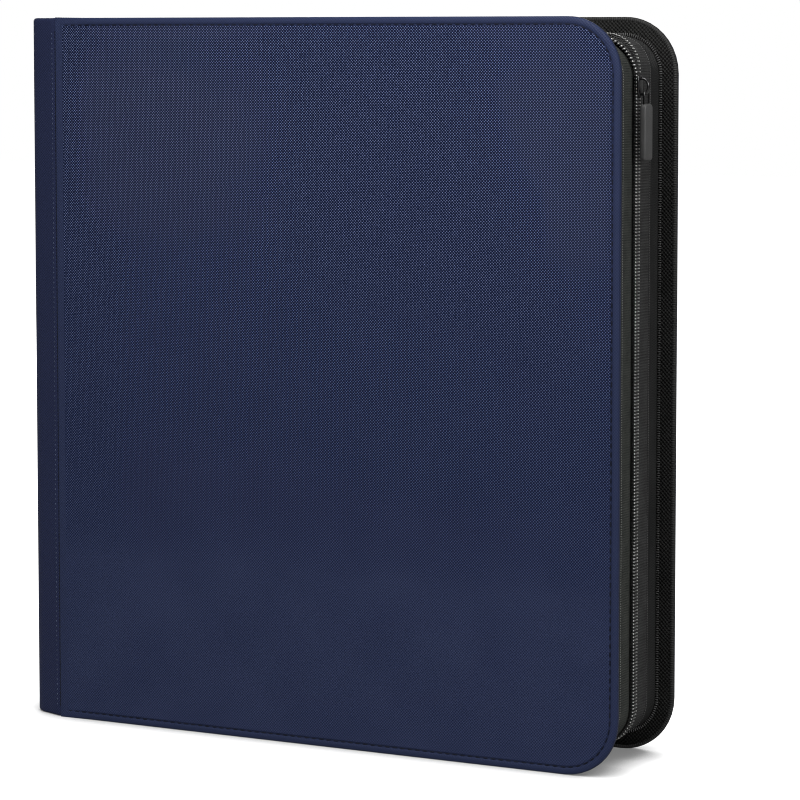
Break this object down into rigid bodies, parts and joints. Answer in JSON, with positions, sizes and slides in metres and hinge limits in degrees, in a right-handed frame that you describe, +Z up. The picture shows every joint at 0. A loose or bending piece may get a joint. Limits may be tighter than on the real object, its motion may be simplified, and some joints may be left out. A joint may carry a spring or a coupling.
{
  "type": "zip-round card binder",
  "caption": "Cloth-covered ring binder for collectible cards: two stiff covers on a flat spine, a zip round three sides and clear pocket leaves on round rings.",
  "frame": {"origin": "middle of the footprint, on the surface that it stands on", "axes": "+X from the spine to the opening edge, -Y out of the front cover, +Z up along the spine"},
  "size_m": [0.318, 0.066, 0.34],
  "materials": {
    "navy_cloth": "fine cross-woven cloth, matt",
    "board_core": "grey book board",
    "black_lining": "woven nylon lining",
    "edge_binding": "ribbed binding tape",
    "gusset_cloth": "plain woven nylon",
    "zip_tape": "ribbed zip tape",
    "zip_coil": "nylon coil",
    "zip_metal": "black enamel",
    "tab_rubber": "moulded, satin",
    "foam_pad": "closed-cell foam",
    "plated_steel": "nickel plated",
    "ring_steel": "nickel plated wire",
    "rail_steel": "rolled strip",
    "leaf_film": "clear pockets on a black sheet"
  },
  "bodies": {
    "spine": {"spine_skin": "navy_cloth", "spine_board": "board_core", "spine_lining": "black_lining", "front_hinge_skin": "navy_cloth", "front_hinge_pad": "foam_pad", "front_hinge_lining": "black_lining", "rear_hinge_skin": "navy_cloth", "rear_hinge_pad": "foam_pad", "rear_hinge_lining": "black_lining", "ring_housing": "plated_steel", "housing_rivets": "plated_steel"},
    "front_cover": {"front_skin": "navy_cloth", "front_board": "board_core", "front_lining": "black_lining", "front_binding": "edge_binding", "front_gusset": "gusset_cloth", "front_zip_tape": "zip_tape", "front_zip_chain": "zip_coil"},
    "rear_cover": {"rear_skin": "navy_cloth", "rear_board": "board_core", "rear_lining": "black_lining", "rear_binding": "edge_binding", "rear_gusset": "gusset_cloth", "rear_zip_tape": "zip_tape", "rear_zip_chain": "zip_coil", "zip_stops": "zip_metal"},
    "slider": {"slider_body": "zip_metal", "slider_bridge": "zip_metal"},
    "pull": {"pull_link": "zip_metal", "pull_tab": "tab_rubber"},
    "front_rings": {"front_rail": "rail_steel", "front_ring_halves": "ring_steel"},
    "rear_rings": {"rear_rail": "rail_steel", "rear_ring_halves": "ring_steel"},
    "top_lever": {"top_lever": "plated_steel"},
    "bottom_lever": {"bottom_lever": "plated_steel"},
    "leaf_01": {"leaf_01": "leaf_film"},
    "leaf_02": {"leaf_02": "leaf_film"},
    "leaf_03": {"leaf_03": "leaf_film"},
    "leaf_04": {"leaf_04": "leaf_film"},
    "leaf_05": {"leaf_05": "leaf_film"},
    "leaf_06": {"leaf_06": "leaf_film"},
    "leaf_07": {"leaf_07": "leaf_film"},
    "leaf_08": {"leaf_08": "leaf_film"},
    "leaf_09": {"leaf_09": "leaf_film"},
    "leaf_10": {"leaf_10": "leaf_film"}
  },
  "joints": [
    {"name": "front_cover_hinge", "type": "hinge", "parent": "spine", "child": "front_cover", "pos_m": [-0.1548, -0.0288, 0.17], "axis": [0, 0, -1], "range_deg": [0, 90], "deforming": ["front_hinge_skin", "front_hinge_pad", "front_hinge_lining"]},
    {"name": "rear_cover_hinge", "type": "hinge", "parent": "spine", "child": "rear_cover", "pos_m": [-0.1548, 0.0288, 0.17], "axis": [0, 0, 1], "range_deg": [0, 90], "deforming": ["rear_hinge_skin", "rear_hinge_pad", "rear_hinge_lining"]},
    {"name": "slider_travel", "type": "slide", "parent": "rear_cover", "child": "slider", "axis": [0, 0, 1], "range_m": [-0.27, 0]},
    {"name": "pull_swing", "type": "hinge", "parent": "slider", "child": "pull", "pos_m": [0.15555, 0.0035, 0.3065], "axis": [0, -1, 0], "range_deg": [0, 120]},
    {"name": "top_lever_turn", "type": "hinge", "parent": "spine", "child": "top_lever", "pos_m": [-0.1528, 0, 0.3119], "axis": [0, 1, 0], "range_deg": [-40, 0]},
    {"name": "bottom_lever_turn", "type": "hinge", "parent": "spine", "child": "bottom_lever", "pos_m": [-0.1528, 0, 0.0281], "axis": [0, -1, 0], "range_deg": [-40, 0]},
    {"name": "front_rings_turn", "type": "hinge", "parent": "spine", "child": "front_rings", "pos_m": [-0.1528, -0.00935, 0.17], "axis": [0, 0, 1], "range_deg": [-12, 0]},
    {"name": "rear_rings_turn", "type": "hinge", "parent": "spine", "child": "rear_rings", "pos_m": [-0.1528, 0.00935, 0.17], "axis": [0, 0, -1], "range_deg": [-12, 0]},
    {"name": "leaf_01_turn", "type": "hinge", "parent": "spine", "child": "leaf_01", "pos_m": [-0.131, 0, 0.17], "axis": [0, 0, -1], "range_deg": [0, 90.01]},
    {"name": "leaf_02_turn", "type": "hinge", "parent": "spine", "child": "leaf_02", "pos_m": [-0.131, 0, 0.17], "axis": [0, 0, -1], "range_deg": [0, 87.31]},
    {"name": "leaf_03_turn", "type": "hinge", "parent": "spine", "child": "leaf_03", "pos_m": [-0.131, 0, 0.17], "axis": [0, 0, -1], "range_deg": [0, 84.61]},
    {"name": "leaf_04_turn", "type": "hinge", "parent": "spine", "child": "leaf_04", "pos_m": [-0.131, 0, 0.17], "axis": [0, 0, -1], "range_deg": [0, 81.91]},
    {"name": "leaf_05_turn", "type": "hinge", "parent": "spine", "child": "leaf_05", "pos_m": [-0.131, 0, 0.17], "axis": [0, 0, -1], "range_deg": [0, 79.21]},
    {"name": "leaf_06_turn", "type": "hinge", "parent": "spine", "child": "leaf_06", "pos_m": [-0.131, 0, 0.17], "axis": [0, 0, 1], "range_deg": [0, 79.21]},
    {"name": "leaf_07_turn", "type": "hinge", "parent": "spine", "child": "leaf_07", "pos_m": [-0.131, 0, 0.17], "axis": [0, 0, 1], "range_deg": [0, 81.91]},
    {"name": "leaf_08_turn", "type": "hinge", "parent": "spine", "child": "leaf_08", "pos_m": [-0.131, 0, 0.17], "axis": [0, 0, 1], "range_deg": [0, 84.61]},
    {"name": "leaf_09_turn", "type": "hinge", "parent": "spine", "child": "leaf_09", "pos_m": [-0.131, 0, 0.17], "axis": [0, 0, 1], "range_deg": [0, 87.31]},
    {"name": "leaf_10_turn", "type": "hinge", "parent": "spine", "child": "leaf_10", "pos_m": [-0.131, 0, 0.17], "axis": [0, 0, 1], "range_deg": [0, 90.01]}
  ],
  "couplings": [
    {"joint": "bottom_lever_turn", "follows": "top_lever_turn", "ratio": 1},
    {"joint": "front_rings_turn", "follows": "top_lever_turn", "ratio": 0.3},
    {"joint": "rear_rings_turn", "follows": "top_lever_turn", "ratio": 0.3},
    {"joint": "leaf_01_turn", "follows": "front_cover_hinge", "ratio": 1},
    {"joint": "leaf_02_turn", "follows": "front_cover_hinge", "ratio": 0.97},
    {"joint": "leaf_03_turn", "follows": "front_cover_hinge", "ratio": 0.94},
    {"joint": "leaf_04_turn", "follows": "front_cover_hinge", "ratio": 0.91},
    {"joint": "leaf_05_turn", "follows": "front_cover_hinge", "ratio": 0.88},
    {"joint": "leaf_06_turn", "follows": "rear_cover_hinge", "ratio": 0.88},
    {"joint": "leaf_07_turn", "follows": "rear_cover_hinge", "ratio": 0.91},
    {"joint": "leaf_08_turn", "follows": "rear_cover_hinge", "ratio": 0.94},
    {"joint": "leaf_09_turn", "follows": "rear_cover_hinge", "ratio": 0.97},
    {"joint": "leaf_10_turn", "follows": "rear_cover_hinge", "ratio": 1}
  ]
}
